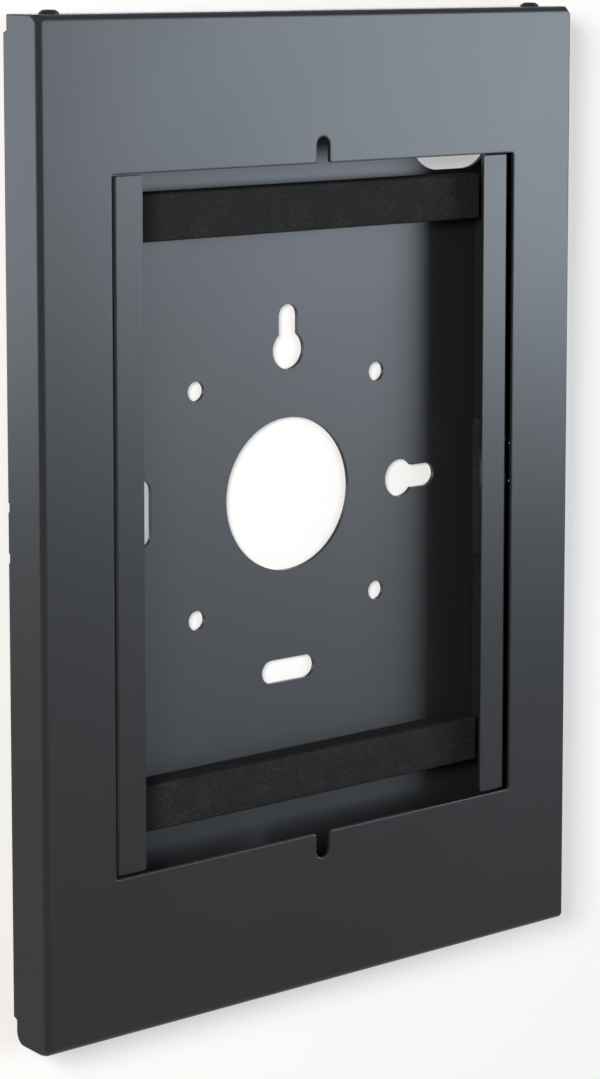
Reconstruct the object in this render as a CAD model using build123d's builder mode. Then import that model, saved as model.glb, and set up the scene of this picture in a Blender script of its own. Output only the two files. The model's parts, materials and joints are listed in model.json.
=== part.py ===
"""Wall mount for a ten-inch tablet, held upright behind a folded steel cover.

Row frame: the origin is the centre of the square wall hole pattern, on the wall face.
+X is to the right as seen from the room, +Y goes into the wall and +Z is up.
All lengths are in millimetres.
"""
from build123d import *
import os

# Tablet that the mount holds
TABLET_WIDTH = 154.4
TABLET_HEIGHT = 255.0

# Back plate, flat against the wall, and how far it stays inside the cover
PLATE_THICKNESS = 1.5
PLATE_SIDE_GAP = 4.5
PLATE_TOP_GAP = 3.6
PLATE_BOTTOM_GAP = 5.0
PLATE_CORNER_RADIUS = 4.0
PLATE_BEND_INNER = 0.5

# Wall fixings cut in the back plate
WALL_HOLE_PITCH = 75.0
WALL_HOLE_DIAMETER = 6.5
CABLE_HOLE_DIAMETER = 51.0
KEYHOLE_DIAMETER = 12.8
KEYHOLE_CENTRE = 47.9
SLOT_WIDTH = 7.8
SLOT_LENGTH = 22.0
SLOT_CENTRE = 59.2
CABLE_SLOT_LENGTH = 35.7
CABLE_SLOT_WIDTH = 24.0
CABLE_SLOT_INSET = 11.4
CABLE_SLOT_RISE = 5.9

# Front cover, one folded sheet, by the borders around its window
COVER_SIDE_BORDER = 26.4
COVER_TOP_BORDER = 48.9
COVER_BOTTOM_BORDER = 51.3
COVER_DEPTH = 20.0
COVER_THICKNESS = 1.2
SIDE_BEND_RADIUS = 1.7
END_BEND_RADIUS = 2.0
END_FLANGE_GAP = 3.0
DEEP_SIDE_TOP_INSET = 5.5
DEEP_SIDE_BOTTOM_INSET = 7.9
DEEP_SIDE_CHAMFER = 0.6
RETURN_LIP = 5.0
SIDE_LOWER_REAR_CORNER = 3.7
SIDE_UPPER_REAR_CORNER = 0.6
TOP_CORNER_REACH = 6.2
BOTTOM_CORNER_REACH = 4.6
CORNER_BALL_OVERLAP = 0.1

# Window for the screen, with a notch for the camera and one for the button
WINDOW_SIDE_REVEAL = 5.1
WINDOW_END_BEZEL = 17.1
WINDOW_CORNER_RADIUS = 1.0
NOTCH_WIDTH = 5.4
NOTCH_DEPTH = 8.6

# Locating tab at mid height on each side of the cover
TAB_WIDTH = 12.8
TAB_RELIEF_WIDTH = 3.1
TAB_RELIEF_DEPTH = 1.8
TAB_EXTRA_REACH = 5.5
TAB_CLEARANCE = 0.5

# Side rails that hold the long edges of the tablet
RAIL_THICKNESS = 1.2
RAIL_LIP_WIDTH = 11.4
RAIL_LIP_CLEARANCE = 0.1
RAIL_LIP_END_GAP = 0.6
RAIL_WALL_SHORTFALL = 14.4
RAIL_FOOT_WIDTH = 12.0
RAIL_BEND_INNER = 0.4
RAIL_END_RETURN = 1.0
RAIL_LIP_CORNER_RADIUS = 1.0
RAIL_RIVET_INSET = 26.0
RAIL_RIVET_COUNT = 2

# Foam behind and beside the tablet
FOAM_THICKNESS = 9.0
FOAM_HEIGHT = 15.2
FOAM_END_GAP = 4.2
FOAM_UPPER_INSET = 15.1
FOAM_LOWER_INSET = 17.0
FOAM_EDGE_RADIUS = 0.6
SIDE_PAD_THICKNESS = 3.0
SIDE_PAD_LIP_GAP = 0.8
SIDE_PAD_LENGTH = 48.0
SIDE_PAD_Z = -5.7
SIDE_PAD_FOOT_GAP = 3.0

# Ledge under the tablet and stop above it
LEDGE_WIDTH = 60.0
LEDGE_FOOT_HEIGHT = 12.4
LEDGE_FRONT_GAP = 1.6
LEDGE_THICKNESS = 1.2
LEDGE_BEND_INNER = 0.6
LEDGE_PAD_THICKNESS = 1.5
LEDGE_PAD_INSET = 1.0
LEDGE_PAD_BACK_GAP = 1.0
LEDGE_PAD_EDGE_RADIUS = 0.4
PLUG_NOTCH_WIDTH = 20.0
PLUG_NOTCH_DEPTH = 12.0
LEDGE_RIVET_SPACING = 40.0

# Rivets
RIVET_SHANK_DIAMETER = 3.2
RIVET_HEAD_DIAMETER = 6.4
RIVET_HEAD_HEIGHT = 1.0
RIVET_HEAD_CHAMFER = 0.4
RIVET_CLEARANCE = 0.05

# Lock screws through the top of the cover
LOCK_SCREW_INSET = 10.7
LOCK_SCREW_DEPTH = 10.0
LOCK_SCREW_DIAMETER = 4.0
LOCK_SCREW_LENGTH = 10.0
LOCK_SCREW_TIP_CHAMFER = 0.6
LOCK_HEAD_DIAMETER = 6.6
LOCK_HEAD_TOP_DIAMETER = 3.9
LOCK_HEAD_HEIGHT = 1.3
LOCK_HEAD_RIM = 0.3
LOCK_SOCKET_ACROSS_FLATS = 2.5
LOCK_SOCKET_DEPTH = 0.9
LOCK_SOCKET_PIN_DIAMETER = 0.9
LOCK_HOLE_CLEARANCE = 0.2
THREAD_CLEARANCE = 0.05
TOP_TAB_WIDTH = 10.0
TOP_TAB_FRONT_GAP = 3.3
TOP_TAB_CLEARANCE = 0.2
NUT_DIAMETER = 8.0
NUT_HEIGHT = 3.0
NUT_COLLAR_DIAMETER = 5.3
NUT_COLLAR_CLEARANCE = 0.05
NUT_COLLAR_RECESS = 0.1
NUT_CHAMFER = 0.4

# Hooks at the foot of the plate, in slots of the cover
HOOK_SPACING = 140.0
HOOK_WIDTH = 12.0
HOOK_DEPTH = 8.75
HOOK_CLEARANCE = 0.4

# Places worked out from the sizes above
window_side = TABLET_WIDTH / 2 + WINDOW_SIDE_REVEAL
window_end = TABLET_HEIGHT / 2 - WINDOW_END_BEZEL
cover_top = window_end + COVER_TOP_BORDER
cover_bottom = -(window_end + COVER_BOTTOM_BORDER)
cover_side = window_side + COVER_SIDE_BORDER
cover_inner_front = -(COVER_DEPTH - COVER_THICKNESS)
deep_side_top = cover_top - DEEP_SIDE_TOP_INSET
deep_side_bottom = cover_bottom + DEEP_SIDE_BOTTOM_INSET
plate_front = -PLATE_THICKNESS
plate_side = cover_side - COVER_THICKNESS - PLATE_SIDE_GAP
plate_top = cover_top - COVER_THICKNESS - PLATE_TOP_GAP
plate_bottom = cover_bottom + COVER_THICKNESS + PLATE_BOTTOM_GAP
plate_bend = PLATE_BEND_INNER + PLATE_THICKNESS / 2
return_edge = cover_side - RETURN_LIP
lock_x = cover_side - LOCK_SCREW_INSET
lock_y = -LOCK_SCREW_DEPTH
tab_top = cover_top - COVER_THICKNESS - TOP_TAB_CLEARANCE
tab_bottom = tab_top - PLATE_THICKNESS
tab_front = cover_inner_front + TOP_TAB_FRONT_GAP
hook_bottom = cover_bottom + COVER_THICKNESS + TOP_TAB_CLEARANCE
rail_lip_front = cover_inner_front + RAIL_LIP_CLEARANCE
rail_lip_half = window_end - RAIL_LIP_END_GAP
rail_wall_half = window_end - RAIL_WALL_SHORTFALL
rail_wall_inner = TABLET_WIDTH / 2 + SIDE_PAD_THICKNESS
rail_outer = rail_wall_inner + RAIL_THICKNESS
rail_rivet_x = rail_outer + RAIL_FOOT_WIDTH / 2
rail_rivet_end = rail_wall_half - RAIL_RIVET_INSET
rail_rivet_step = 2 * rail_rivet_end / (RAIL_RIVET_COUNT - 1)
rail_rivet_z = [i * rail_rivet_step - rail_rivet_end for i in range(RAIL_RIVET_COUNT)]
ledge_level = TABLET_HEIGHT / 2 + LEDGE_PAD_THICKNESS
ledge_foot_end = ledge_level + LEDGE_FOOT_HEIGHT
ledge_rivet_x = [-LEDGE_RIVET_SPACING / 2, LEDGE_RIVET_SPACING / 2]
ledge_rivet_z = ledge_level + LEDGE_FOOT_HEIGHT / 2 + LEDGE_THICKNESS / 2
ledge_front = cover_inner_front + LEDGE_FRONT_GAP

os.makedirs("parts", exist_ok=True)


def folded(points, bend_radius, thickness):
    """A sheet's section: a run of straight legs with round bends, thickened about its middle."""
    with BuildLine() as run:
        FilletPolyline(*points, radius=bend_radius)
    trace(run.edges(), line_width=thickness)


def finish(builder, name):
    """Name a finished piece and write it."""
    builder.part.label = name
    export_step(builder.part, f"parts/{name}.step")


# Metal ground off the four front corners of the cover, which leaves them round as a ball
with BuildPart() as corner_waste:
    for level, turn, reach in ((cover_top, 1, TOP_CORNER_REACH), (cover_bottom, -1, BOTTOM_CORNER_REACH)):
        ball_radius = (reach**2 + (reach + CORNER_BALL_OVERLAP) ** 2) ** 0.5
        half = reach / 2
        for side in (-1, 1):
            with Locations((side * (cover_side - half), half - COVER_DEPTH, level - turn * half)):
                Box(reach, reach, reach)
            with Locations((side * (cover_side - reach), reach - COVER_DEPTH, level - turn * reach)):
                Sphere(ball_radius, mode=Mode.SUBTRACT)

# Front cover
side_mid = cover_side - COVER_THICKNESS / 2
front_mid = -(COVER_DEPTH - COVER_THICKNESS / 2)
return_mid = -COVER_THICKNESS / 2
side_bend_mid = SIDE_BEND_RADIUS - COVER_THICKNESS / 2
end_bend_mid = END_BEND_RADIUS - COVER_THICKNESS / 2
side_bend_start = -(COVER_DEPTH - SIDE_BEND_RADIUS)
side_stub_end = side_bend_start + COVER_THICKNESS

with BuildPart() as front_cover:
    # Front sheet, deep side walls and the lips that turn in against the wall
    with BuildSketch(Plane.XY.offset(deep_side_bottom)):
        folded(
            [
                (return_edge, return_mid),
                (side_mid, return_mid),
                (side_mid, front_mid),
                (-side_mid, front_mid),
                (-side_mid, return_mid),
                (-return_edge, return_mid),
            ],
            side_bend_mid,
            COVER_THICKNESS,
        )
    extrude(amount=deep_side_top - deep_side_bottom)
    # The side bends run on to the top and the bottom
    with BuildSketch(Plane.XY.offset(cover_bottom)):
        folded(
            [
                (side_mid, side_stub_end),
                (side_mid, front_mid),
                (-side_mid, front_mid),
                (-side_mid, side_stub_end),
            ],
            side_bend_mid,
            COVER_THICKNESS,
        )
    extrude(amount=cover_top - cover_bottom)
    # Flat of each side wall, with its rounded rear corners and stepped rear edge
    for inner_x in (-cover_side, cover_side - COVER_THICKNESS):
        with BuildSketch(Plane.YZ.offset(inner_x)) as side_wall:
            with BuildLine():
                Polyline(
                    (side_bend_start, cover_bottom),
                    (-END_FLANGE_GAP, cover_bottom),
                    (-END_FLANGE_GAP, deep_side_bottom - DEEP_SIDE_CHAMFER),
                    (-SIDE_BEND_RADIUS, deep_side_bottom),
                    (-SIDE_BEND_RADIUS, deep_side_top),
                    (-END_FLANGE_GAP, deep_side_top + DEEP_SIDE_CHAMFER),
                    (-END_FLANGE_GAP, cover_top),
                    (side_bend_start, cover_top),
                    close=True,
                )
            make_face()
            lower_rear = side_wall.vertices().group_by(Axis.Y)[0].sort_by(Axis.X)[-1]
            fillet(lower_rear, radius=SIDE_LOWER_REAR_CORNER)
            upper_rear = side_wall.vertices().group_by(Axis.Y)[-1].sort_by(Axis.X)[-1]
            fillet(upper_rear, radius=SIDE_UPPER_REAR_CORNER)
        extrude(amount=COVER_THICKNESS)
    # At the top and the bottom the side bends end under the curve of the end bends
    with BuildSketch(Plane.YZ) as end_outline:
        with Locations((-COVER_DEPTH / 2, (cover_top + cover_bottom) / 2)):
            Rectangle(COVER_DEPTH, cover_top - cover_bottom)
        front_corners = end_outline.vertices().group_by(Axis.X)[0]
        fillet(front_corners, radius=END_BEND_RADIUS)
    extrude(amount=cover_side, both=True, mode=Mode.INTERSECT)
    # Top and bottom flanges, tucked between the side walls with an open seam
    with BuildSketch(Plane.YZ):
        folded(
            [
                (-END_FLANGE_GAP, cover_top - COVER_THICKNESS / 2),
                (front_mid, cover_top - COVER_THICKNESS / 2),
                (front_mid, cover_bottom + COVER_THICKNESS / 2),
                (-END_FLANGE_GAP, cover_bottom + COVER_THICKNESS / 2),
            ],
            end_bend_mid,
            COVER_THICKNESS,
        )
    extrude(amount=cover_side - SIDE_BEND_RADIUS, both=True)
    add(corner_waste.part, mode=Mode.SUBTRACT)
    # Window with its two notches
    with BuildSketch(Plane.XZ.offset(COVER_DEPTH - COVER_THICKNESS)) as window:
        Rectangle(2 * window_side, 2 * window_end)
        SlotOverall(2 * (window_end + NOTCH_DEPTH), NOTCH_WIDTH, rotation=90)
        rows = window.vertices().group_by(Axis.Y)
        lower_edge = rows[1]
        upper_edge = rows[-2]
        fillet(lower_edge + upper_edge, radius=WINDOW_CORNER_RADIUS)
    extrude(amount=COVER_THICKNESS, mode=Mode.SUBTRACT)
    # Relief cuts each side of the locating tabs, and the longer lip of each tab
    relief_z = (TAB_WIDTH + TAB_RELIEF_WIDTH) / 2
    with BuildSketch(Plane.YZ):
        with Locations((-TAB_RELIEF_DEPTH / 2, relief_z), (-TAB_RELIEF_DEPTH / 2, -relief_z)):
            Rectangle(TAB_RELIEF_DEPTH, TAB_RELIEF_WIDTH)
    extrude(amount=cover_side, both=True, mode=Mode.SUBTRACT)
    tab_reach = return_edge - TAB_EXTRA_REACH / 2
    with BuildSketch(Plane.XZ):
        with Locations((tab_reach, 0), (-tab_reach, 0)):
            Rectangle(TAB_EXTRA_REACH, TAB_WIDTH)
    extrude(amount=COVER_THICKNESS)
    # Holes for the lock screws
    with BuildSketch(Plane.XY.offset(cover_top - COVER_THICKNESS)):
        with Locations((-lock_x, lock_y), (lock_x, lock_y)):
            Circle(LOCK_SCREW_DIAMETER / 2 + LOCK_HOLE_CLEARANCE)
    extrude(amount=COVER_THICKNESS, mode=Mode.SUBTRACT)
    # Slots that drop over the hooks of the plate
    with BuildSketch(Plane.XY.offset(cover_bottom)):
        with Locations((-HOOK_SPACING / 2, -HOOK_DEPTH), (HOOK_SPACING / 2, -HOOK_DEPTH)):
            Rectangle(HOOK_WIDTH + 2 * HOOK_CLEARANCE, PLATE_THICKNESS + 2 * HOOK_CLEARANCE)
    extrude(amount=COVER_THICKNESS, mode=Mode.SUBTRACT)
finish(front_cover, "front_cover")

# Back plate
with BuildPart() as back_plate:
    with BuildSketch(Plane.XZ):
        with Locations((0, (plate_top + plate_bottom) / 2)):
            RectangleRounded(2 * plate_side, plate_top - plate_bottom, PLATE_CORNER_RADIUS)
    extrude(amount=PLATE_THICKNESS)
    # Top tabs turned forward to carry the clinch nuts
    for x in (-lock_x, lock_x):
        with BuildSketch(Plane.YZ.offset(x)):
            folded(
                [
                    (plate_front / 2, plate_top - PLATE_CORNER_RADIUS),
                    (plate_front / 2, tab_top - PLATE_THICKNESS / 2),
                    (tab_front, tab_top - PLATE_THICKNESS / 2),
                ],
                plate_bend,
                PLATE_THICKNESS,
            )
        extrude(amount=TOP_TAB_WIDTH / 2, both=True)
    # Hooks turned forward and then down through the cover
    for x in (-HOOK_SPACING / 2, HOOK_SPACING / 2):
        with BuildSketch(Plane.YZ.offset(x)):
            folded(
                [
                    (plate_front / 2, plate_bottom + PLATE_CORNER_RADIUS),
                    (plate_front / 2, hook_bottom + PLATE_THICKNESS / 2),
                    (-HOOK_DEPTH, hook_bottom + PLATE_THICKNESS / 2),
                    (-HOOK_DEPTH, cover_bottom),
                ],
                plate_bend,
                PLATE_THICKNESS,
            )
        extrude(amount=HOOK_WIDTH / 2, both=True)
    # Wall holes, keyholes, screw slots and cable openings
    with BuildSketch(Plane.XZ):
        with GridLocations(WALL_HOLE_PITCH, WALL_HOLE_PITCH, 2, 2):
            Circle(WALL_HOLE_DIAMETER / 2)
        Circle(CABLE_HOLE_DIAMETER / 2)
        keyhole_run = SLOT_CENTRE - KEYHOLE_CENTRE
        with Locations((0, KEYHOLE_CENTRE), (KEYHOLE_CENTRE, 0)):
            Circle(KEYHOLE_DIAMETER / 2)
        with Locations((0, KEYHOLE_CENTRE + keyhole_run / 2)):
            SlotCenterToCenter(keyhole_run, SLOT_WIDTH, rotation=90)
        with Locations((KEYHOLE_CENTRE + keyhole_run / 2, 0)):
            SlotCenterToCenter(keyhole_run, SLOT_WIDTH)
        with Locations((-SLOT_CENTRE, 0)):
            SlotOverall(SLOT_LENGTH, SLOT_WIDTH, rotation=90)
        with Locations((0, -SLOT_CENTRE)):
            SlotOverall(SLOT_LENGTH, SLOT_WIDTH)
        with Locations((rail_outer - CABLE_SLOT_INSET, window_end + CABLE_SLOT_RISE)):
            SlotOverall(CABLE_SLOT_LENGTH, CABLE_SLOT_WIDTH)
    extrude(amount=PLATE_THICKNESS, mode=Mode.SUBTRACT)
    # Notches that receive the cover's locating tabs
    tab_end = return_edge - TAB_EXTRA_REACH - TAB_CLEARANCE
    notch_run = plate_side - tab_end
    with BuildSketch(Plane.XZ):
        with Locations((tab_end + notch_run / 2, 0), (-tab_end - notch_run / 2, 0)):
            Rectangle(notch_run, TAB_WIDTH + 2 * TAB_CLEARANCE)
    extrude(amount=PLATE_THICKNESS, mode=Mode.SUBTRACT)
    # Rivet holes for the rails, the ledge and the stop
    with BuildSketch(Plane.XZ):
        with Locations(*[(side * rail_rivet_x, z) for side in (-1, 1) for z in rail_rivet_z]):
            Circle(RIVET_SHANK_DIAMETER / 2 + RIVET_CLEARANCE)
        with GridLocations(LEDGE_RIVET_SPACING, 2 * ledge_rivet_z, 2, 2):
            Circle(RIVET_SHANK_DIAMETER / 2 + RIVET_CLEARANCE)
    extrude(amount=PLATE_THICKNESS, mode=Mode.SUBTRACT)
    # Collar holes for the clinch nuts
    with BuildSketch(Plane.XY.offset(tab_bottom)):
        with Locations((-lock_x, lock_y), (lock_x, lock_y)):
            Circle(NUT_COLLAR_DIAMETER / 2 + NUT_COLLAR_CLEARANCE)
    extrude(amount=PLATE_THICKNESS, mode=Mode.SUBTRACT)
finish(back_plate, "back_plate")

# Side rails
rail_bend = RAIL_BEND_INNER + RAIL_THICKNESS / 2
rail_wall_mid = rail_outer - RAIL_THICKNESS / 2
rail_lip_mid = rail_lip_front + RAIL_THICKNESS / 2
rail_lip_edge = rail_outer - RAIL_LIP_WIDTH
rail_foot_mid = plate_front - RAIL_THICKNESS / 2
rail_stub = rail_lip_mid + rail_bend + RAIL_END_RETURN

for side, rail_name in ((-1, "left_side_rail"), (1, "right_side_rail")):
    with BuildPart() as rail:
        # Foot, wall and lip over the height of the wall
        with BuildSketch(Plane.XY.offset(-rail_wall_half)):
            folded(
                [
                    (side * (rail_outer + RAIL_FOOT_WIDTH), rail_foot_mid),
                    (side * rail_wall_mid, rail_foot_mid),
                    (side * rail_wall_mid, rail_lip_mid),
                    (side * rail_lip_edge, rail_lip_mid),
                ],
                rail_bend,
                RAIL_THICKNESS,
            )
        extrude(amount=2 * rail_wall_half)
        # The lip and its bend run on to the ends of the window
        with BuildSketch(Plane.XY.offset(-rail_lip_half)):
            folded(
                [
                    (side * rail_wall_mid, rail_stub),
                    (side * rail_wall_mid, rail_lip_mid),
                    (side * rail_lip_edge, rail_lip_mid),
                ],
                rail_bend,
                RAIL_THICKNESS,
            )
        extrude(amount=2 * rail_lip_half)
        # Round the two inner corners of the lip
        lip_corners = rail.edges().filter_by(Axis.Y).group_by(Axis.X)[0 if side > 0 else -1]
        fillet(lip_corners, radius=RAIL_LIP_CORNER_RADIUS)
        # Rivet holes in the foot
        with BuildSketch(Plane.XZ.offset(PLATE_THICKNESS)):
            with Locations(*[(side * rail_rivet_x, z) for z in rail_rivet_z]):
                Circle(RIVET_SHANK_DIAMETER / 2 + RIVET_CLEARANCE)
        extrude(amount=RAIL_THICKNESS, mode=Mode.SUBTRACT)
    finish(rail, rail_name)

# Foam strips behind the tablet
foam_upper_z = window_end - FOAM_UPPER_INSET
foam_lower_z = FOAM_LOWER_INSET - window_end
for foam_z, foam_name in ((foam_upper_z, "upper_foam_pad"), (foam_lower_z, "lower_foam_pad")):
    with BuildPart() as foam:
        with BuildSketch(Plane.XZ.offset(PLATE_THICKNESS)):
            with Locations((0, foam_z)):
                Rectangle(2 * (rail_wall_inner - FOAM_END_GAP), FOAM_HEIGHT)
        extrude(amount=FOAM_THICKNESS)
        fillet(foam.faces().sort_by(Axis.Y)[0].edges(), radius=FOAM_EDGE_RADIUS)
    finish(foam, foam_name)

# Foam pads on the walls of the rails
side_pad_x = rail_wall_inner - SIDE_PAD_THICKNESS / 2
side_pad_back = plate_front - RAIL_THICKNESS - SIDE_PAD_FOOT_GAP
side_pad_front = rail_lip_front + RAIL_THICKNESS + SIDE_PAD_LIP_GAP
side_pad_y = (side_pad_back + side_pad_front) / 2
for side, pad_name in ((-1, "left_side_pad"), (1, "right_side_pad")):
    with BuildPart() as side_pad:
        with BuildSketch(Plane.XY.offset(SIDE_PAD_Z - SIDE_PAD_LENGTH / 2)):
            with Locations((side * side_pad_x, side_pad_y)):
                Rectangle(SIDE_PAD_THICKNESS, side_pad_back - side_pad_front)
        extrude(amount=SIDE_PAD_LENGTH)
        inner_face = side_pad.faces().sort_by(Axis.X)[0 if side > 0 else -1]
        fillet(inner_face.edges(), radius=FOAM_EDGE_RADIUS)
    finish(side_pad, pad_name)

# Ledge below the tablet and stop above it
ledge_bend = LEDGE_BEND_INNER + LEDGE_THICKNESS / 2
ledge_foot_mid = plate_front - LEDGE_THICKNESS / 2
ledge_mid = ledge_level + LEDGE_THICKNESS / 2
for side, ledge_name in ((-1, "lower_ledge"), (1, "upper_stop")):
    with BuildPart() as ledge:
        with BuildSketch(Plane.YZ):
            folded(
                [
                    (ledge_foot_mid, side * ledge_foot_end),
                    (ledge_foot_mid, side * ledge_mid),
                    (ledge_front, side * ledge_mid),
                ],
                ledge_bend,
                LEDGE_THICKNESS,
            )
        extrude(amount=LEDGE_WIDTH / 2, both=True)
        # Notch for the charging plug, in the ledge alone
        if side < 0:
            with BuildSketch(Plane.XY.offset(-ledge_level - LEDGE_THICKNESS)):
                with Locations((0, ledge_front + PLUG_NOTCH_DEPTH / 2)):
                    Rectangle(PLUG_NOTCH_WIDTH, PLUG_NOTCH_DEPTH)
            extrude(amount=LEDGE_THICKNESS, mode=Mode.SUBTRACT)
        with BuildSketch(Plane.XZ.offset(PLATE_THICKNESS)):
            with Locations(*[(x, side * ledge_rivet_z) for x in ledge_rivet_x]):
                Circle(RIVET_SHANK_DIAMETER / 2 + RIVET_CLEARANCE)
        extrude(amount=LEDGE_THICKNESS, mode=Mode.SUBTRACT)
    finish(ledge, ledge_name)

# Rubber pads on the ledge and on the stop
pad_front = ledge_front + LEDGE_PAD_INSET
pad_back = plate_front - LEDGE_THICKNESS - LEDGE_PAD_BACK_GAP
pad_depth = pad_back - pad_front
pad_y = (pad_front + pad_back) / 2
ledge_pad_run = (LEDGE_WIDTH - PLUG_NOTCH_WIDTH) / 2 - 2 * LEDGE_PAD_INSET
ledge_pad_x = PLUG_NOTCH_WIDTH / 2 + LEDGE_PAD_INSET + ledge_pad_run / 2
with BuildPart() as ledge_pads:
    with BuildSketch(Plane.XY.offset(-ledge_level)):
        with Locations((-ledge_pad_x, pad_y), (ledge_pad_x, pad_y)):
            Rectangle(ledge_pad_run, pad_depth)
    extrude(amount=LEDGE_PAD_THICKNESS)
    fillet(ledge_pads.faces().group_by(Axis.Z)[-1].edges(), radius=LEDGE_PAD_EDGE_RADIUS)
finish(ledge_pads, "ledge_pads")

with BuildPart() as stop_pad:
    with BuildSketch(Plane.XY.offset(TABLET_HEIGHT / 2)):
        with Locations((0, pad_y)):
            Rectangle(LEDGE_WIDTH - 2 * LEDGE_PAD_INSET, pad_depth)
    extrude(amount=LEDGE_PAD_THICKNESS)
    fillet(stop_pad.faces().sort_by(Axis.Z)[0].edges(), radius=LEDGE_PAD_EDGE_RADIUS)
finish(stop_pad, "stop_pad")


def rivets(places, sheet_thickness):
    """Flat-headed rivets through a sheet and the back plate, flush with the wall face."""
    head_base = PLATE_THICKNESS + sheet_thickness
    with BuildSketch(Plane.XZ) as shanks:
        with Locations(*places):
            Circle(RIVET_SHANK_DIAMETER / 2)
    extrude(shanks.sketch, amount=head_base + RIVET_HEAD_HEIGHT / 2)
    with BuildSketch(Plane.XZ.offset(head_base)) as heads:
        with Locations(*places):
            Circle(RIVET_HEAD_DIAMETER / 2)
    extrude(heads.sketch, amount=RIVET_HEAD_HEIGHT)


for side, rivet_name in ((-1, "left_rail_rivets"), (1, "right_rail_rivets")):
    with BuildPart() as rail_rivets:
        rivets([(side * rail_rivet_x, z) for z in rail_rivet_z], RAIL_THICKNESS)
        chamfer(rail_rivets.faces().group_by(Axis.Y)[0].edges(), length=RIVET_HEAD_CHAMFER)
    finish(rail_rivets, rivet_name)

for side, rivet_name in ((-1, "ledge_rivets"), (1, "stop_rivets")):
    with BuildPart() as ledge_rivets:
        rivets([(x, side * ledge_rivet_z) for x in ledge_rivet_x], LEDGE_THICKNESS)
        chamfer(ledge_rivets.faces().group_by(Axis.Y)[0].edges(), length=RIVET_HEAD_CHAMFER)
    finish(ledge_rivets, rivet_name)

# Clinch nuts under the top tabs and the lock screws that run in them
socket_radius = LOCK_SOCKET_ACROSS_FLATS / 3**0.5
for side, word in ((-1, "left"), (1, "right")):
    with BuildPart() as nut:
        with BuildSketch(Plane.XY.offset(tab_bottom - NUT_HEIGHT)):
            with Locations((side * lock_x, lock_y)):
                Circle(NUT_DIAMETER / 2)
        extrude(amount=NUT_HEIGHT)
        chamfer(nut.faces().sort_by(Axis.Z)[0].edges(), length=NUT_CHAMFER)
        with BuildSketch(Plane.XY.offset(tab_bottom)):
            with Locations((side * lock_x, lock_y)):
                Circle(NUT_COLLAR_DIAMETER / 2)
        extrude(amount=PLATE_THICKNESS - NUT_COLLAR_RECESS)
        with BuildSketch(Plane.XY.offset(tab_bottom - NUT_HEIGHT)):
            with Locations((side * lock_x, lock_y)):
                Circle(LOCK_SCREW_DIAMETER / 2 + THREAD_CLEARANCE)
        extrude(amount=NUT_HEIGHT + PLATE_THICKNESS, mode=Mode.SUBTRACT)
    finish(nut, f"{word}_clinch_nut")

    with BuildPart() as lock_screw:
        screw_plane = Plane(origin=(side * lock_x, lock_y, cover_top), x_dir=(1, 0, 0), z_dir=(0, -1, 0))
        with BuildSketch(screw_plane):
            with BuildLine():
                Polyline(
                    (0, LOCK_HEAD_HEIGHT),
                    (0, -LOCK_SCREW_LENGTH),
                    (LOCK_SCREW_DIAMETER / 2 - LOCK_SCREW_TIP_CHAMFER, -LOCK_SCREW_LENGTH),
                    (LOCK_SCREW_DIAMETER / 2, -LOCK_SCREW_LENGTH + LOCK_SCREW_TIP_CHAMFER),
                    (LOCK_SCREW_DIAMETER / 2, 0),
                    (LOCK_HEAD_DIAMETER / 2, 0),
                    (LOCK_HEAD_DIAMETER / 2, LOCK_HEAD_RIM),
                    (LOCK_HEAD_TOP_DIAMETER / 2, LOCK_HEAD_HEIGHT),
                    close=True,
                )
            make_face()
        revolve(axis=Axis(screw_plane.origin, (0, 0, 1)))
        # Pin-in-hexagon socket
        with BuildSketch(Plane.XY.offset(cover_top + LOCK_HEAD_HEIGHT - LOCK_SOCKET_DEPTH)):
            with Locations((side * lock_x, lock_y)):
                RegularPolygon(socket_radius, 6)
                Circle(LOCK_SOCKET_PIN_DIAMETER / 2, mode=Mode.SUBTRACT)
        extrude(amount=LOCK_SOCKET_DEPTH, mode=Mode.SUBTRACT)
    finish(lock_screw, f"{word}_lock_screw")
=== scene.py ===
"""Looks for a tablet wall mount: finishes, foam, fasteners and the stage it is pictured on."""
import json
import math

import bmesh
import bpy
from mathutils import Matrix, Vector, noise


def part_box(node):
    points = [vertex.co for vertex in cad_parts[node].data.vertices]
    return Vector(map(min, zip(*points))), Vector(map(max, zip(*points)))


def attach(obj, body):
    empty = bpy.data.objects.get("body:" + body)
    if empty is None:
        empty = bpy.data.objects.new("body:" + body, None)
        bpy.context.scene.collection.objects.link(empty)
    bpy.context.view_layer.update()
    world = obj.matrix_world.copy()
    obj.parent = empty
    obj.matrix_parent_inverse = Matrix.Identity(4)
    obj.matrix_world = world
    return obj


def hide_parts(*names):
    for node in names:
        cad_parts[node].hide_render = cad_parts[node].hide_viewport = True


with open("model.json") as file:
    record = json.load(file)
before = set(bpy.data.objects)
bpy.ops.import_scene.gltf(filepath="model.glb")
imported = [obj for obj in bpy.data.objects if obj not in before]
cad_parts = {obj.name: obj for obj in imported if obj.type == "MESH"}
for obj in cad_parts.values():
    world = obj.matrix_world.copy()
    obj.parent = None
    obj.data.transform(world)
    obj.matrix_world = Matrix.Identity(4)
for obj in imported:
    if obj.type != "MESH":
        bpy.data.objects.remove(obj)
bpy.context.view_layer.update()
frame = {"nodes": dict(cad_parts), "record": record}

bl_info = {
    "name": "Tablet wall mount",
    "version": (1, 0, 0),
    "blender": (4, 5, 0),
    "location": "View3D > Sidebar > Mount",
    "description": "Finishes and details for a tablet wall mount",
    "category": "Object",
}

MM = 0.001
MOUNT = "mount"
SIDES = ("left", "right")
SCREW_BODY = {"left": "left_screw", "right": "right_screw"}

# Distances that count as none: between two points that merge, and between a point and a cut
MERGE_DISTANCE = 0.002 * MM
CUT_DISTANCE = 1e-7

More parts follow.
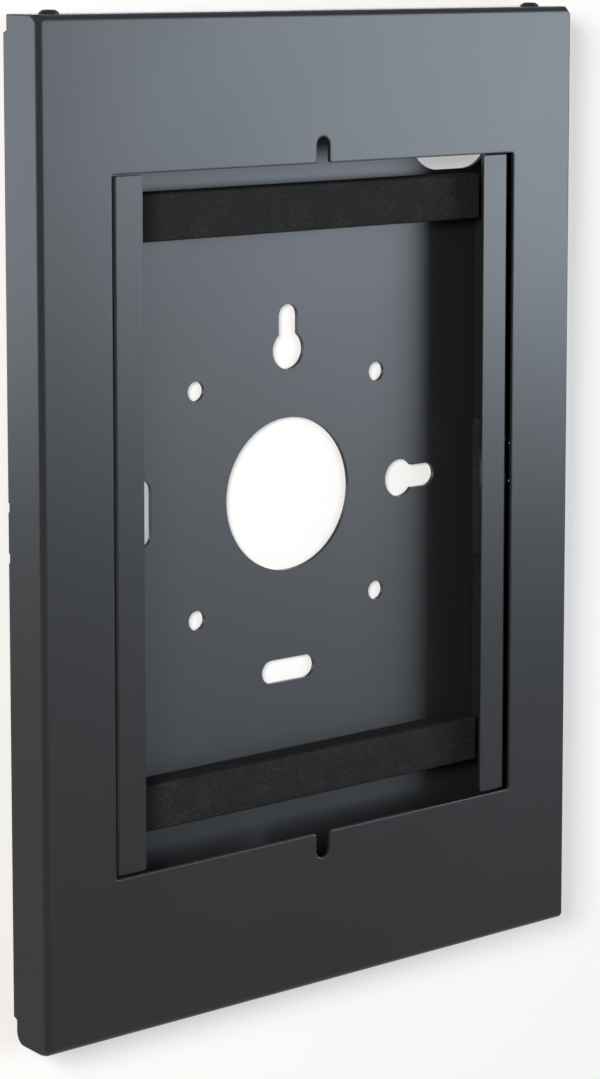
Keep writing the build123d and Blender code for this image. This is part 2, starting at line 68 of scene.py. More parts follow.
# Foam: cuts near an edge as shares of its radius, waves and ripples per metre, where a strip's
# ends begin, and how far its sides pull in as a share of its width, or of 20 mm if it is wider
FOAM_EDGE_CUTS = (0.25, 0.6, 1.0)
FOAM_WAVES = 260.0
FOAM_RIPPLES = 900.0
FOAM_SEED_STEP = 7.0
FOAM_ENDS = 0.9
FOAM_PULL = 0.012
FOAM_PULL_WIDTH = 20.0 * MM

# Rubber: half the plug's notch between the ledge pads, how far a rib is sunk in its web, and half
# its width as a share of the spacing
PLUG_NOTCH_HALF = 11.0 * MM
RIB_SUNK = 0.1 * MM
RIB_HALF_SHARE = 0.33
RIB_FACETS = 8

# Rivets: the head's dome and rim, then the shank's end, the head's seat and the flat of the set
# mark as shares of the shank's or the head's radius
RIVET_DOME = 1.0 * MM
RIVET_CHAMFER = 0.12 * MM
RIVET_END_SHARE = 0.9
RIVET_SEAT_SHARE = 0.97
RIVET_MARK_SHARE = 0.12
RIVET_STEPS = 8
RIVET_SIDES = 36

# Lock screws: the shank's radius, the plain part under the head, the tapered tip and the thread
SCREW_SHANK = 2.0 * MM
SCREW_PLAIN = 0.7 * MM
SCREW_TIP = 0.7 * MM
SCREW_TIP_TAPER = 0.5 * MM
SCREW_SIDES = 48
THREAD_FLANK = 2.2
THREAD_END = 0.1 * MM
THREAD_RINGS_PER_TURN = 8

# Lock screws' heads: the seat's chamfer, the upright rim, the dome up to the flat top's radius,
# the socket's mouth and the pin's rounded end
HEAD_CHAMFER = 0.1 * MM
HEAD_CHAMFER_RISE = 0.08 * MM
HEAD_RIM = 0.18 * MM
HEAD_TOP = 1.7 * MM
HEAD_ROUNDNESS = 1.6
HEAD_STEPS = 7
SOCKET_CHAMFER = 0.06 * MM
PIN_SIDE_DROP = 0.15 * MM
PIN_TOP_DROP = 0.08 * MM
PIN_TOP_SHARE = 0.8

# Clinch nuts: the body's height, the radii of bore and collar, and the chamfers from the foot up
NUT_SHOULDER = 3.0 * MM
NUT_BORE = 2.05 * MM
NUT_COLLAR = 2.45 * MM
NUT_BORE_CHAMFER = 0.35 * MM
NUT_FOOT_CHAMFER = 0.4 * MM
NUT_SHOULDER_CHAMFER = 0.15 * MM
NUT_COLLAR_CHAMFER = 0.1 * MM
NUT_MOUTH_CHAMFER = 0.12 * MM
NUT_SIDES = 48

# Knurls: a tooth's depth, its widths at tip and root, its height and its place on the collar
TOOTH_DEPTH = 0.5 * MM
TOOTH_TIP = 0.12 * MM
TOOTH_ROOT = 0.42 * MM
TOOTH_HEIGHT = 1.1 * MM
TOOTH_SUNK = 0.05 * MM
TOOTH_RISE = 0.62 * MM

# Ground and sky: their reach, the wall's gap behind the plate, and their tones
GROUND_REACH = 9.0
WALL_TOP = 4.0
WALL_GAP = 0.3 * MM
WALL_TINT = (1.05, 1.0, 0.95)
FLOOR_TINT = (1.0, 1.0, 1.0)
WHITE = (1.0, 1.0, 1.0, 1.0)

# Colours of the lights
COOL_LIGHT = (0.765, 0.875, 1.0)
PLAIN_LIGHT = (1.0, 0.99, 0.97)

# The photograph's camera, fitted to the plate's holes and the cover's edges
PICTURE_HEIGHT = 1079
FOCAL_PIXELS = 2944.967
SENSOR_WIDTH = 36.0
CAMERA_PLACE = (-0.587791, -0.759141, 0.178556)
CAMERA_TURN = 38.035
CAMERA_TILT = 6.202
CAMERA_SHIFT = -0.25
CAMERA_NEAR = 0.05


class MountFinish(bpy.types.PropertyGroup):
    """Colours and finishes of the mount's materials."""
    paint_color: bpy.props.FloatVectorProperty(
        name="Paint colour", description="Base colour of the powder coat on the cover and rails",
        subtype="COLOR", size=3, min=0.0, max=1.0, default=(0.0100, 0.0102, 0.0110))
    plate_color: bpy.props.FloatVectorProperty(
        name="Plate colour", description="Base colour of the powder coat on the back plate",
        subtype="COLOR", size=3, min=0.0, max=1.0, default=(0.0105, 0.0107, 0.0116))
    paint_roughness: bpy.props.FloatProperty(
        name="Paint roughness", description="Roughness of the powder coat on the cover and rails",
        subtype="FACTOR", min=0.0, max=1.0, default=0.31)
    plate_roughness: bpy.props.FloatProperty(
        name="Plate roughness", description="Roughness of the powder coat on the back plate",
        subtype="FACTOR", min=0.0, max=1.0, default=0.42)
    paint_gloss: bpy.props.FloatProperty(
        name="Paint gloss",
        description="Strength of the sheen of the powder coat on the cover and rails",
        subtype="FACTOR", min=0.0, max=1.0, default=0.5)
    plate_gloss: bpy.props.FloatProperty(
        name="Plate gloss", description="Strength of the sheen of the powder coat on the back plate",
        subtype="FACTOR", min=0.0, max=1.0, default=0.72)
    paint_grain: bpy.props.FloatProperty(
        name="Paint grain", description="Distance between the powder coat's fine waves",
        subtype="DISTANCE", unit="LENGTH", min=0.0001, default=0.7 * MM)
    cover_edge: bpy.props.FloatProperty(
        name="Cover edge", description="Radius to which the powder coat rounds the cover's cut edges",
        subtype="DISTANCE", unit="LENGTH", min=0.0, default=0.9 * MM)
    plate_edge: bpy.props.FloatProperty(
        name="Plate edge", description="Radius to which the powder coat rounds the plate's cut edges",
        subtype="DISTANCE", unit="LENGTH", min=0.0, default=0.15 * MM)
    rail_edge: bpy.props.FloatProperty(
        name="Rail edge", description="Radius to which the powder coat rounds the rails' cut edges",
        subtype="DISTANCE", unit="LENGTH", min=0.0, default=0.4 * MM)
    foam_color: bpy.props.FloatVectorProperty(
        name="Foam colour", description="Base colour of the foam",
        subtype="COLOR", size=3, min=0.0, max=1.0, default=(0.0148, 0.0144, 0.0141))
    foam_cell: bpy.props.FloatProperty(
        name="Foam cell", description="Size of the foam's open cells",
        subtype="DISTANCE", unit="LENGTH", min=0.0001, default=0.8 * MM)
    rubber_color: bpy.props.FloatVectorProperty(
        name="Rubber colour", description="Base colour of the ledge and stop pads",
        subtype="COLOR", size=3, min=0.0, max=1.0, default=(0.018, 0.018, 0.018))
    steel_color: bpy.props.FloatVectorProperty(
        name="Screw colour", description="Colour of the lock screws",
        subtype="COLOR", size=3, min=0.0, max=1.0, default=(0.065, 0.065, 0.070))
    zinc_color: bpy.props.FloatVectorProperty(
        name="Zinc colour", description="Colour of the rivets and clinch nuts",
        subtype="COLOR", size=3, min=0.0, max=1.0, default=(0.50, 0.50, 0.48))


class MountFasteners(bpy.types.PropertyGroup):
    """Sizes of the fasteners' fine forms."""
    thread_pitch: bpy.props.FloatProperty(
        name="Thread pitch", description="Rise of the lock screw's thread in one turn",
        subtype="DISTANCE", unit="LENGTH", min=0.0002, default=0.7 * MM)
    thread_depth: bpy.props.FloatProperty(
        name="Thread depth", description="Depth of the lock screw's thread",
        subtype="DISTANCE", unit="LENGTH", min=0.0001, default=0.4 * MM)
    socket_across: bpy.props.FloatProperty(
        name="Socket across flats", description="Width of the lock screw's hexagon socket",
        subtype="DISTANCE", unit="LENGTH", min=0.001, default=2.5 * MM)
    socket_depth: bpy.props.FloatProperty(
        name="Socket depth", description="Depth of the lock screw's socket",
        subtype="DISTANCE", unit="LENGTH", min=0.0002, default=0.9 * MM)
    pin_diameter: bpy.props.FloatProperty(
        name="Pin diameter", description="Width of the pin in the socket",
        subtype="DISTANCE", unit="LENGTH", min=0.0002, default=0.9 * MM)
    rivet_shank: bpy.props.FloatProperty(
        name="Rivet shank", description="Diameter of a rivet's shank",
        subtype="DISTANCE", unit="LENGTH", min=0.001, default=3.2 * MM)
    knurl_teeth: bpy.props.IntProperty(
        name="Knurl teeth", description="Teeth around a clinch nut's collar", min=6, default=24)


class MountPads(bpy.types.PropertyGroup):
    """Forms of the foam and rubber."""
    foam_edge: bpy.props.FloatProperty(
        name="Foam edge", description="Radius of the foam's front edges",
        subtype="DISTANCE", unit="LENGTH", min=0.0001, default=0.8 * MM)
    foam_crown: bpy.props.FloatProperty(
        name="Foam crown", description="Rise of the foam's front face between its edges",
        subtype="DISTANCE", unit="LENGTH", min=0.0, default=0.25 * MM)
    foam_step: bpy.props.FloatProperty(
        name="Foam step", description="Distance between the foam mesh's points",
        subtype="DISTANCE", unit="LENGTH", min=0.0005, default=1.0 * MM)
    foam_uneven: bpy.props.FloatProperty(
        name="Foam unevenness", description="How far the foam's surface wanders",
        subtype="DISTANCE", unit="LENGTH", min=0.0, default=0.09 * MM)
    rib_spacing: bpy.props.FloatProperty(
        name="Rib spacing", description="Distance between the ribs of the rubber pads",
        subtype="DISTANCE", unit="LENGTH", min=0.0005, default=1.5 * MM)
    rib_height: bpy.props.FloatProperty(
        name="Rib height", description="Height of the ribs of the rubber pads",
        subtype="DISTANCE", unit="LENGTH", min=0.0001, default=0.45 * MM)


class MountStage(bpy.types.PropertyGroup):
    """Lights and ground for the picture."""
    key_power: bpy.props.FloatProperty(
        name="Key power", description="Power of the broad soft light at the right",
        subtype="POWER", min=0.0, default=16.2)
    side_power: bpy.props.FloatProperty(
        name="Side power", description="Power of the soft light at the upper left",
        subtype="POWER", min=0.0, default=30.0)
    rear_power: bpy.props.FloatProperty(
        name="Rear power", description="Power of the broad soft light behind the wall at the left",
        subtype="POWER", min=0.0, default=5.4)
    back_power: bpy.props.FloatProperty(
        name="Back power", description="Power of the broad soft light behind the wall at the right",
        subtype="POWER", min=0.0, default=14.0)
    sky_strength: bpy.props.FloatProperty(
        name="Sky strength", description="Brightness of the light from all round",
        min=0.0, default=0.12)
    sky_pale: bpy.props.FloatProperty(
        name="Sky pale", description="How pale the surroundings look to the eye and in reflections",
        subtype="FACTOR", min=0.0, max=1.0, default=0.40)
    floor_white: bpy.props.FloatProperty(
        name="Floor white", description="Share of the floor's pale tone that the lights give",
        subtype="FACTOR", min=0.0, max=1.0, default=0.42)
    floor_glow: bpy.props.FloatProperty(
        name="Floor glow", description="Share of the floor's pale tone that stays far from the lights",
        subtype="FACTOR", min=0.0, max=1.0, default=0.29)
    wall_white: bpy.props.FloatProperty(
        name="Wall white", description="Share of the wall's white that shadows can take away",
        subtype="FACTOR", min=0.0, max=1.0, default=0.44)
    wall_glow: bpy.props.FloatProperty(
        name="Wall glow", description="Share of the wall's white that stays in a full shadow",
        subtype="FACTOR", min=0.0, max=1.0, default=0.44)
    floor_drop: bpy.props.FloatProperty(
        name="Floor drop", description="Distance from the wall holes down to the floor",
        subtype="DISTANCE", unit="LENGTH", min=0.2, default=1.2)


class Value:
    """A socket of a material's tree that takes part in sums."""

    def __init__(self, maker, socket):
        self.maker = maker
        self.socket = socket

    def _math(self, operation, first, second):
        return self.maker.node("ShaderNodeMath", {"operation": operation}, {0: first, 1: second})[0]

    def __add__(self, other):
        return self._math("ADD", self, other)

    def __radd__(self, other):
        return self._math("ADD", other, self)

    def __sub__(self, other):
        return self._math("SUBTRACT", self, other)

    def __rsub__(self, other):
        return self._math("SUBTRACT", other, self)

    def __mul__(self, other):
        return self._math("MULTIPLY", self, other)

    def __rmul__(self, other):
        return self._math("MULTIPLY", other, self)


class Look:
    """The nodes of a new material or sky, and the one way to add to them."""

    def __init__(self, owner, output="ShaderNodeOutputMaterial"):
        self.owner = owner
        owner.use_nodes = True
        self.tree = owner.node_tree
        self.tree.nodes.clear()
        self.out = self.tree.nodes.new(output)

    def node(self, kind, settings=None, sockets=None):
        """Add a node, set what is given and return its outputs as values."""
        made = self.tree.nodes.new(kind)
        for name, setting in (settings or {}).items():
            setattr(made, name, setting)
        for name, given in (sockets or {}).items():
            if isinstance(given, Value):
                self.tree.links.new(given.socket, made.inputs[name])
            else:
                made.inputs[name].default_value = given
        return [Value(self, socket) for socket in made.outputs]

    def finish(self, shader):
        """Send a shader to the output and give the finished look back."""
        self.tree.links.new(shader.socket, self.out.inputs["Surface"])
        return self.owner

    def place(self):
        """Object coordinates."""
        return self.node("ShaderNodeTexCoord")[3]

    def rays(self):
        """1 for a ray from the camera, for a shadow, off a gloss and through a clear piece."""
        path = self.node("ShaderNodeLightPath")
        return path[0], path[1], path[3], path[6]

    def seen(self):
        """1 for what the camera sees, be it straight, in a reflection or through a clear piece."""
        camera, _, glossy, through = self.rays()
        return camera + glossy + through

    def noise(self, size, detail=2.0, roughness=0.5):
        """A noise from 0 to 1 whose features are about as wide as the size given, in metres."""
        return self.node("ShaderNodeTexNoise", None, {
            "Vector": self.place(), "Scale": 1.0 / size, "Detail": detail, "Roughness": roughness})[0]

    def between(self, low, high, factor):
        """A colour between two others."""
        return self.node("ShaderNodeMix", {"data_type": "RGBA"}, {
            "Factor": factor, 6: (*low, 1.0), 7: (*high, 1.0)})[2]

    def bump(self, height, strength, distance, normal=None):
        """A normal from a height, on top of another normal where one is given."""
        sockets = {"Height": height, "Strength": strength, "Distance": distance}
        if normal:
            sockets["Normal"] = normal
        return self.node("ShaderNodeBump", None, sockets)[0]


def new_look(name):
    """Start a material."""
    return Look(bpy.data.materials.new(name))


def tinted(color, amount):
    """A colour made lighter or darker by a share of itself."""
    return tuple(min(1.0, channel * (1.0 + amount)) for channel in color)


def paint_material(name, finish, color, roughness, gloss, edge_radius, cloud_size):
    """Satin powder coat: a fine orange-peel surface with very slight change of tone."""
    paint = new_look(name)
    color = tuple(color)
    cloud = paint.noise(cloud_size, detail=3.0)
    grain = paint.noise(finish.paint_grain, roughness=0.6)
    speck = paint.noise(finish.paint_grain * 0.3, detail=1.0)
    tone = paint.between(tinted(color, -0.06), tinted(color, 0.08), cloud * 0.6 + speck * 0.4)
    rough = (cloud - 0.5) * 0.05 + ((grain - 0.5) * 0.06 + roughness)
    edge = paint.node("ShaderNodeBevel", {"samples": 6}, {"Radius": edge_radius})[0]
    normal = paint.bump(grain * 0.8 + speck * 0.2, strength=0.12, distance=0.03 * MM, normal=edge)
    shader = paint.node("ShaderNodeBsdfPrincipled", None, {
        "Base Color": tone, "Roughness": rough, "Normal": normal,
        "IOR": 1.5, "Specular IOR Level": gloss})[0]
    return paint.finish(shader)


def foam_material(finish):
    """Matt black closed-cell foam with small open cells on its cut faces."""
    foam = new_look("cut_foam")
    color = tuple(finish.foam_color)
    cells = foam.node("ShaderNodeTexVoronoi", {"feature": "F1"}, {
        "Vector": foam.place(), "Scale": 1.0 / finish.foam_cell, "Randomness": 1.0})[0]
    dust = foam.noise(finish.foam_cell * 0.55, detail=1.0, roughness=0.6)
    patch = foam.noise(9.0 * MM)
    specks = (dust - 0.5) * 2.8 + (patch - 0.5) * 0.8
    tone = foam.between(tinted(color, -0.25), tinted(color, 1.5), specks)
    normal = foam.bump(cells * 0.6 + dust * 0.4, strength=0.6, distance=0.18 * MM)
    shader = foam.node("ShaderNodeBsdfPrincipled", None, {
        "Base Color": tone, "Roughness": dust * 0.12 + 0.82, "Normal": normal,
        "Specular IOR Level": 0.2})[0]
    return foam.finish(shader)


def rubber_material(finish):
    """Matt black moulded rubber."""
    rubber = new_look("moulded_rubber")
    color = tuple(finish.rubber_color)
    cloud = rubber.noise(4.0 * MM)
    grain = rubber.noise(0.25 * MM)
    tone = rubber.between(tinted(color, -0.2), tinted(color, 0.3), cloud)
    shader = rubber.node("ShaderNodeBsdfPrincipled", None, {
        "Base Color": tone, "Roughness": grain * 0.15 + 0.6,
        "Normal": rubber.bump(grain, strength=0.2, distance=0.03 * MM)})[0]
    return rubber.finish(shader)


def metal_material(name, color, rough, grain_size):
    """Bare or plated steel with fine marks from tool and handling."""
    metal = new_look(name)
    color = tuple(color)
    cloud = metal.noise(2.5 * MM, detail=3.0, roughness=0.6)
    grain = metal.noise(grain_size, roughness=0.6)
    tone = metal.between(tinted(color, -0.18), tinted(color, 0.12), cloud)
    shader = metal.node("ShaderNodeBsdfPrincipled", None, {
        "Base Color": tone, "Metallic": 1.0, "Roughness": grain * 0.16 + (cloud * 0.08 + rough),
        "Normal": metal.bump(grain, strength=0.15, distance=0.01 * MM)})[0]
    return metal.finish(shader)


def link_piece(name, mesh):
    """Put a mesh in the scene as a piece."""
    piece = bpy.data.objects.new(name, mesh)
    bpy.context.scene.collection.objects.link(piece)
    return piece


def mesh_from(form, name):
    """Turn an edited form into a mesh with closed, outward faces."""
    bmesh.ops.remove_doubles(form, verts=form.verts, dist=MERGE_DISTANCE)
    bmesh.ops.recalc_face_normals(form, faces=form.faces)
    mesh = bpy.data.meshes.new(name)
    form.to_mesh(mesh)
    form.free()
    return mesh


def smooth(mesh, degrees):
    """Shade smooth but keep edges sharper than an angle."""
    mesh.shade_smooth()
    mesh.set_sharp_from_angle(angle=math.radians(degrees))


def lathe(form, centre, rings, segments, turn=None):
    """Close a turned shape about an upright axis.

    Each ring is a height and a radius, which may be a function of the angle. The turn moves a
    whole ring's points from the upright axis to another direction.
    """
    rows = []
    for height, radius in rings:
        row = []
        for step in range(segments):
            angle = 2.0 * math.pi * step / segments
            reach = radius(angle) if callable(radius) else radius
            point = Vector((reach * math.cos(angle), reach * math.sin(angle), height))
            row.append(form.verts.new(Vector(centre) + (turn @ point if turn else point)))
        rows.append(row)
    for lower, upper in zip(rows, rows[1:]):
        for step in range(segments):
            after = (step + 1) % segments
            form.faces.new((lower[step], lower[after], upper[after], upper[step]))
    form.faces.new(list(reversed(rows[0])))
    form.faces.new(rows[-1])


def copies_tree(name):
    """A tree that sets copies of the piece's own mesh along a line."""
    tree = bpy.data.node_groups.new(name, "GeometryNodeTree")
    tree.is_modifier = True
    face = tree.interface
    face.new_socket(name="Geometry", in_out="INPUT", socket_type="NodeSocketGeometry")
    count = face.new_socket(name="Count", in_out="INPUT", socket_type="NodeSocketInt")
    start = face.new_socket(name="Start", in_out="INPUT", socket_type="NodeSocketVector")
    step = face.new_socket(name="Step", in_out="INPUT", socket_type="NodeSocketVector")
    coat = face.new_socket(name="Material", in_out="INPUT", socket_type="NodeSocketMaterial")
    face.new_socket(name="Geometry", in_out="OUTPUT", socket_type="NodeSocketGeometry")
    given = tree.nodes.new("NodeGroupInput")
    line = tree.nodes.new("GeometryNodeMeshLine")
    line.mode = "OFFSET"
    onto = tree.nodes.new("GeometryNodeInstanceOnPoints")
    real = tree.nodes.new("GeometryNodeRealizeInstances")
    finish = tree.nodes.new("GeometryNodeSetMaterial")
    result = tree.nodes.new("NodeGroupOutput")
    link = tree.links.new
    link(given.outputs["Count"], line.inputs["Count"])
    link(given.outputs["Start"], line.inputs["Start Location"])
    link(given.outputs["Step"], line.inputs["Offset"])
    link(line.outputs["Mesh"], onto.inputs["Points"])
    link(given.outputs["Geometry"], onto.inputs["Instance"])
    link(onto.outputs["Instances"], real.inputs["Geometry"])
    link(real.outputs["Geometry"], finish.inputs["Geometry"])
    link(given.outputs["Material"], finish.inputs["Material"])
    link(finish.outputs["Geometry"], result.inputs[0])
    return tree, {"count": count.identifier, "start": start.identifier,
                  "step": step.identifier, "coat": coat.identifier}


def ring_tree(name):
    """A tree that sets copies of the piece's own mesh around an upright axis."""
    tree = bpy.data.node_groups.new(name, "GeometryNodeTree")
    tree.is_modifier = True
    face = tree.interface
    face.new_socket(name="Geometry", in_out="INPUT", socket_type="NodeSocketGeometry")
    count = face.new_socket(name="Count", in_out="INPUT", socket_type="NodeSocketInt")
    radius = face.new_socket(name="Radius", in_out="INPUT", socket_type="NodeSocketFloat")
    centre = face.new_socket(name="Centre", in_out="INPUT", socket_type="NodeSocketVector")
    coat = face.new_socket(name="Material", in_out="INPUT", socket_type="NodeSocketMaterial")
    face.new_socket(name="Geometry", in_out="OUTPUT", socket_type="NodeSocketGeometry")
    given = tree.nodes.new("NodeGroupInput")
    circle = tree.nodes.new("GeometryNodeMeshCircle")
    facing = tree.nodes.new("FunctionNodeAlignRotationToVector")
    facing.axis = "X"
    place = tree.nodes.new("GeometryNodeInputPosition")
    onto = tree.nodes.new("GeometryNodeInstanceOnPoints")
    real = tree.nodes.new("GeometryNodeRealizeInstances")
    move = tree.nodes.new("GeometryNodeTransform")
    finish = tree.nodes.new("GeometryNodeSetMaterial")
    result = tree.nodes.new("NodeGroupOutput")
    link = tree.links.new
    link(given.outputs["Count"], circle.inputs["Vertices"])
    link(given.outputs["Radius"], circle.inputs["Radius"])
    link(place.outputs["Position"], facing.inputs["Vector"])
    link(circle.outputs["Mesh"], onto.inputs["Points"])
    link(facing.outputs["Rotation"], onto.inputs["Rotation"])
    link(given.outputs["Geometry"], onto.inputs["Instance"])
    link(onto.outputs["Instances"], real.inputs["Geometry"])
    link(real.outputs["Geometry"], move.inputs["Geometry"])
    link(given.outputs["Centre"], move.inputs["Translation"])
    link(move.outputs["Geometry"], finish.inputs["Geometry"])
    link(given.outputs["Material"], finish.inputs["Material"])
    link(finish.outputs["Geometry"], result.inputs[0])
    return tree, {"count": count.identifier, "radius": radius.identifier,
                  "centre": centre.identifier, "coat": coat.identifier}


def grown(name, form, made_tree, settings):
    """Run a tree on a form, keep the result as a plain mesh and return it."""
    tree, names = made_tree
    seed = link_piece(name + "_seed", mesh_from(form, name + "_seed"))
    modifier = seed.modifiers.new("copies", "NODES")
    modifier.node_group = tree
    for key, value in settings.items():
        modifier[names[key]] = value
    evaluated = seed.evaluated_get(bpy.context.evaluated_depsgraph_get())
    mesh = bpy.data.meshes.new_from_object(evaluated)
    mesh.name = name
    seed_mesh = seed.data
    bpy.data.objects.remove(seed)
    bpy.data.meshes.remove(seed_mesh)
    return mesh


def soft_block(name, low, high, pads, seed):
    """A die-cut block of foam: flat at its back, soft at its front edges, a little crowned."""
    edge = pads.foam_edge
    form = bmesh.new()
    bmesh.ops.create_cube(form, size=1.0)
    size = high - low
    for corner in form.verts:
        corner.co = Vector(low[i] + (corner.co[i] + 0.5) * size[i] for i in range(3))
    for axis in range(3):
        near = [edge * share for share in FOAM_EDGE_CUTS]
        inner = size[axis] - 2.0 * edge
        count = max(1, round(inner / pads.foam_step))
        cuts = near + [edge + inner * i / count for i in range(1, count)]
        cuts += [size[axis] - gap for gap in near]
        normal = Vector((axis == 0, axis == 1, axis == 2))
        for cut in cuts:
            bmesh.ops.bisect_plane(
                form, geom=form.verts[:] + form.edges[:] + form.faces[:],
                plane_co=low + normal * cut, plane_no=normal, dist=CUT_DISTANCE)
    middle = (low + high) / 2.0
    for point in form.verts:
        at = point.co.copy()
        inside = Vector((
            min(max(at.x, low.x + edge), high.x - edge),
            max(at.y, low.y + edge),
            min(max(at.z, low.z + edge), high.z - edge)))
        out = at - inside
        if out.length > edge:
            out = out.normalized() * edge
        at = inside + out
        across = min(1.0, abs(at.x - middle.x) / (size.x / 2.0))
        along = min(1.0, abs(at.z - middle.z) / (size.z / 2.0))
        forward = min(1.0, max(0.0, (high.y - at.y) / size.y))
        sag = pads.foam_crown * (1.0 - (1.0 - across ** 4) * (1.0 - along ** 4))
        wander = noise.noise(at * FOAM_WAVES + Vector((seed, 0.0, 0.0)))
        wander += 0.5 * noise.noise(at * FOAM_RIPPLES + Vector((0.0, seed, 0.0)))
        at.y += forward * (sag + pads.foam_uneven * (1.0 + wander) / 2.0)
        pull = 1.0 - FOAM_PULL * forward * (1.0 - along ** 2) * min(1.0, FOAM_PULL_WIDTH / size.x)
        at.x = middle.x + (at.x - middle.x) * pull
        uneven = math.copysign(pads.foam_uneven, at.z - middle.z)
        at.z -= uneven * forward * (along > FOAM_ENDS) * (1.0 + wander) / 2.0
        point.co = at
    mesh = mesh_from(form, name)
    smooth(mesh, degrees=50)
    return link_piece(name, mesh)


class PaintSheets(bpy.types.Operator):
    """Finish the folded sheets with powder coat"""
    bl_idname = "mount.paint_sheets"
    bl_label = "Paint sheets"

    def execute(self, context):
        finish = context.scene.mount_finish
        coats = {
            "cover_paint": paint_material(
                "cover_powder_coat", finish, finish.paint_color, finish.paint_roughness,
                finish.paint_gloss, finish.cover_edge, cloud_size=60.0 * MM),
            "plate_paint": paint_material(
                "plate_powder_coat", finish, finish.plate_color, finish.plate_roughness,
                finish.plate_gloss, finish.plate_edge, cloud_size=45.0 * MM),
            "rail_paint": paint_material(
                "rail_powder_coat", finish, finish.paint_color, finish.paint_roughness,
                finish.paint_gloss, finish.rail_edge, cloud_size=30.0 * MM),
        }
        for part in frame["record"]["subparts"]:
            coat = coats.get(part["material_slot"])
            if coat:
                sheet = frame["nodes"][part["node"]]
                sheet.data.materials.clear()
                sheet.data.materials.append(coat)
        return {"FINISHED"}


class FoamPads(bpy.types.Operator):
    """Make the foam strips behind the tablet and the foam pads beside it"""
    bl_idname = "mount.foam_pads"
    bl_label = "Foam pads"

    def execute(self, context):
        pads = context.scene.mount_pads
        coat = foam_material(context.scene.mount_finish)
        names = ("upper_foam_pad", "lower_foam_pad", "left_side_pad", "right_side_pad")
        for seed, node in enumerate(names):
            low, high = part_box(node)
            name = node.replace("_pad", "_strip")
            strip = soft_block(name, low, high, pads, FOAM_SEED_STEP * seed)
            strip.data.materials.append(coat)
            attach(strip, MOUNT)
            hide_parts(node)
        return {"FINISHED"}


class RubberPads(bpy.types.Operator):
    """Make the ribbed rubber pads of the ledge and the stop"""
    bl_idname = "mount.rubber_pads"
    bl_label = "Rubber pads"

    def execute(self, context):
        pads = context.scene.mount_pads
        coat = rubber_material(context.scene.mount_finish)
        tree = copies_tree("ribs in a row")
        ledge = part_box("ledge_pads")
        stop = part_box("stop_pad")
        self.pad("ledge_rubber", "ledge_pads", coat, tree, pads, 1.0, [
            (ledge[0].x, -PLUG_NOTCH_HALF), (PLUG_NOTCH_HALF, ledge[1].x)], ledge)
        self.pad("stop_rubber", "stop_pad", coat, tree, pads, -1.0, [(stop[0].x, stop[1].x)], stop)
        return {"FINISHED"}

    def pad(self, name, node, coat, tree, pads, facing, spans, box):
        """Join a flat web and its ribs for each span along X into one piece."""
        low, high = box
        whole = bmesh.new()
        web = (high.z - low.z) - pads.rib_height
        base = low.z if facing > 0 else high.z
        for start, end in spans:
            bed = bmesh.new()
            bmesh.ops.create_cube(bed, size=1.0)
            top = base + facing * web
            for corner in bed.verts:
                corner.co = Vector((
                    start + (corner.co.x + 0.5) * (end - start),
                    low.y + (corner.co.y + 0.5) * (high.y - low.y),
                    min(base, top) + (corner.co.z + 0.5) * web))
            bed_mesh = mesh_from(bed, name + "_bed")
            whole.from_mesh(bed_mesh)
            bpy.data.meshes.remove(bed_mesh)
            count = int((high.y - low.y) / pads.rib_spacing)
            rib = self.rib(end - start, pads, facing)
            first = (low.y + high.y) / 2.0 - pads.rib_spacing * (count - 1) / 2.0
            ribs = grown(name + "_ribs", rib, tree, {
                "count": count, "start": ((start + end) / 2.0, first, top),
                "step": (0.0, pads.rib_spacing, 0.0), "coat": coat})
            whole.from_mesh(ribs)
            bpy.data.meshes.remove(ribs)
        mesh = bpy.data.meshes.new(name)
        whole.to_mesh(mesh)
        whole.free()
        mesh.materials.clear()
        mesh.materials.append(coat)
        smooth(mesh, degrees=40)
        piece = link_piece(name, mesh)
        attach(piece, MOUNT)
        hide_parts(node)

    def rib(self, length, pads, facing):
        """A half-round bar, a little sunk in the web under it."""
        form = bmesh.new()
        half = pads.rib_spacing * RIB_HALF_SHARE
        points = [(-half, -RIB_SUNK)]
        for i in range(RIB_FACETS + 1):
            angle = math.pi * i / RIB_FACETS
            points.append((-half * math.cos(angle), pads.rib_height * math.sin(angle)))
        points.append((half, -RIB_SUNK))
        ends = []
        for x in (-length / 2.0, length / 2.0):
            ends.append([form.verts.new((x, y, facing * z)) for y, z in points])
        total = len(points)
        for i in range(total):
            after = (i + 1) % total
            form.faces.new((ends[0][i], ends[0][after], ends[1][after], ends[1][i]))
        form.faces.new(list(reversed(ends[0])))
        form.faces.new(ends[1])
        return form


